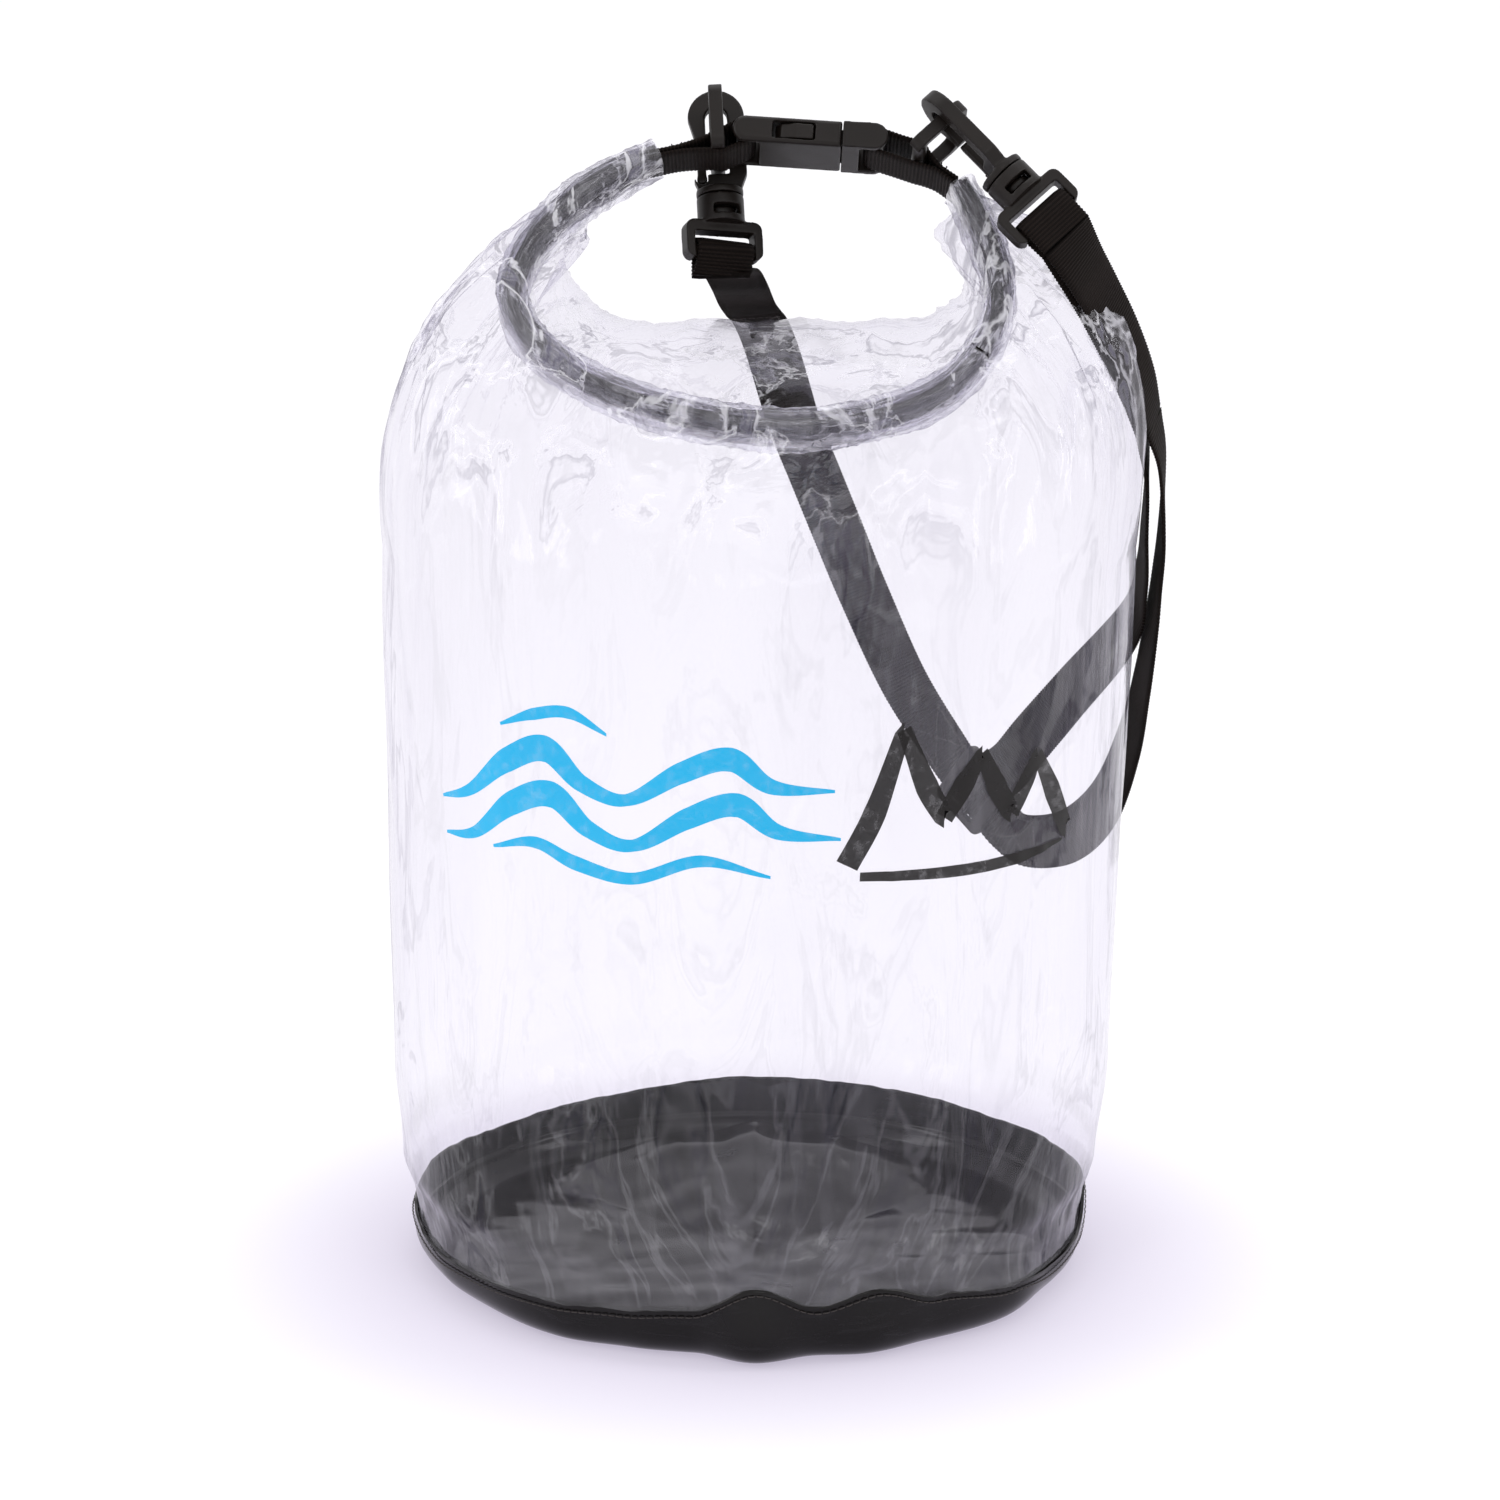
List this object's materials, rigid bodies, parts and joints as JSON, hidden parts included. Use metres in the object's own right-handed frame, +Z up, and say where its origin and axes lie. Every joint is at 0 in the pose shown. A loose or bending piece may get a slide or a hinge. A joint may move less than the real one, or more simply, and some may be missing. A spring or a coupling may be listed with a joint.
{
  "type": "roll-top dry bag",
  "caption": "Clear cylindrical roll-top dry bag on a round welded base; the rolled mouth buckles into a carry handle, with a clip-on shoulder strap.",
  "frame": {"origin": "centre of the round base, on the surface that the bag stands on", "axes": "+Z up, front towards -Y, the socket of the buckle towards -X and its plug towards +X"},
  "size_m": [0.2733, 0.2617, 0.4142],
  "materials": {
    "clear_film": "clear glossy film",
    "base_panel": "gloss",
    "stiffener": "woven",
    "webbing": "woven",
    "hardware": "satin"
  },
  "bodies": {
    "bag": {"base_cup": "base_panel", "bag_body": "clear_film", "mouth_roll": "clear_film", "left_roll_arm": "clear_film", "mouth_strip": "stiffener", "left_end_loop": "webbing", "buckle_socket": "hardware", "back_strap": "webbing", "outer_strap": "webbing", "inner_strap": "webbing", "strap_slider": "hardware", "left_strap_upper": "webbing", "outer_strap_upper": "webbing", "inner_strap_upper": "webbing"},
    "right_arm": {"right_roll_arm": "clear_film", "right_arm_strip": "stiffener", "right_end_loop": "webbing", "buckle_plug": "hardware"},
    "front_prong": {"front_prong": "hardware"},
    "rear_prong": {"rear_prong": "hardware"},
    "left_ring": {"left_ring": "hardware"},
    "left_hook": {"left_hook": "hardware"},
    "left_gate": {"left_hook_gate": "hardware"},
    "left_eye": {"left_swivel_eye": "hardware", "left_strap_loop": "webbing"},
    "right_ring": {"right_ring": "hardware"},
    "right_hook": {"right_hook": "hardware"},
    "right_gate": {"right_hook_gate": "hardware"},
    "right_eye": {"right_swivel_eye": "hardware", "right_strap_loop": "webbing"}
  },
  "joints": [
    {"name": "buckle_release", "type": "slide", "parent": "bag", "child": "right_arm", "axis": [0.9976, -0.0306, -0.0627], "range_m": [0, 0.024], "deforming": ["front_prong", "rear_prong", "outer_strap_upper", "inner_strap_upper"]},
    {"name": "front_prong_press", "type": "hinge", "parent": "right_arm", "child": "front_prong", "pos_m": [0.03257, -0.01527, 0.39645], "axis": [-0.0698, -0.4373, -0.8966], "range_deg": [0, 6.5], "stiffness_Nm_per_rad": 0.3, "springref_deg": -1.72},
    {"name": "rear_prong_press", "type": "hinge", "parent": "right_arm", "child": "rear_prong", "pos_m": [0.03257, -0.00089, 0.38944], "axis": [0.0698, 0.4373, 0.8966], "range_deg": [0, 6.5], "stiffness_Nm_per_rad": 0.3, "springref_deg": -1.72},
    {"name": "left_ring_swing", "type": "hinge", "parent": "bag", "child": "left_ring", "pos_m": [-0.0108, -0.00866, 0.39176], "axis": [0, -0.8988, 0.4384], "range_deg": [-12, 12], "deforming": ["left_strap_upper"]},
    {"name": "left_hook_tilt", "type": "hinge", "parent": "left_ring", "child": "left_hook", "pos_m": [-0.01175, 0.01353, 0.40099], "axis": [0, -0.8988, 0.4384], "range_deg": [-2.5, 2.5], "deforming": ["left_strap_upper"]},
    {"name": "left_gate_open", "type": "hinge", "parent": "left_hook", "child": "left_gate", "pos_m": [-0.01616, 0.00354, 0.3805], "axis": [0, 0.8988, -0.4384], "range_deg": [0, 9], "stiffness_Nm_per_rad": 0.03, "springref_deg": -11.46},
    {"name": "left_swivel", "type": "hinge", "parent": "left_hook", "child": "left_eye", "pos_m": [-0.00996, -0.00062, 0.37197], "axis": [-0.0523, 0.4378, 0.8976], "continuous": true, "deforming": ["left_strap_upper"]},
    {"name": "right_ring_swing", "type": "hinge", "parent": "right_arm", "child": "right_ring", "pos_m": [0.0563, -0.01055, 0.38789], "axis": [0, -0.8988, 0.4384], "range_deg": [-12, 12], "deforming": ["outer_strap_upper", "inner_strap_upper"]},
    {"name": "right_hook_swing", "type": "hinge", "parent": "right_ring", "child": "right_hook", "pos_m": [0.0648, -0.02525, 0.40452], "axis": [0.7314, 0.299, 0.613], "range_deg": [-20, 4], "deforming": ["outer_strap_upper", "inner_strap_upper"]},
    {"name": "right_gate_open", "type": "hinge", "parent": "right_hook", "child": "right_gate", "pos_m": [0.07953, -0.02705, 0.38782], "axis": [0.7314, 0.299, 0.613], "range_deg": [0, 14], "stiffness_Nm_per_rad": 0.03, "springref_deg": -11.46},
    {"name": "right_swivel", "type": "hinge", "parent": "right_hook", "child": "right_eye", "pos_m": [0.08621, -0.03531, 0.38388], "axis": [-0.682, 0.3206, 0.6573], "continuous": true, "deforming": ["outer_strap_upper", "inner_strap_upper"]}
  ]
}
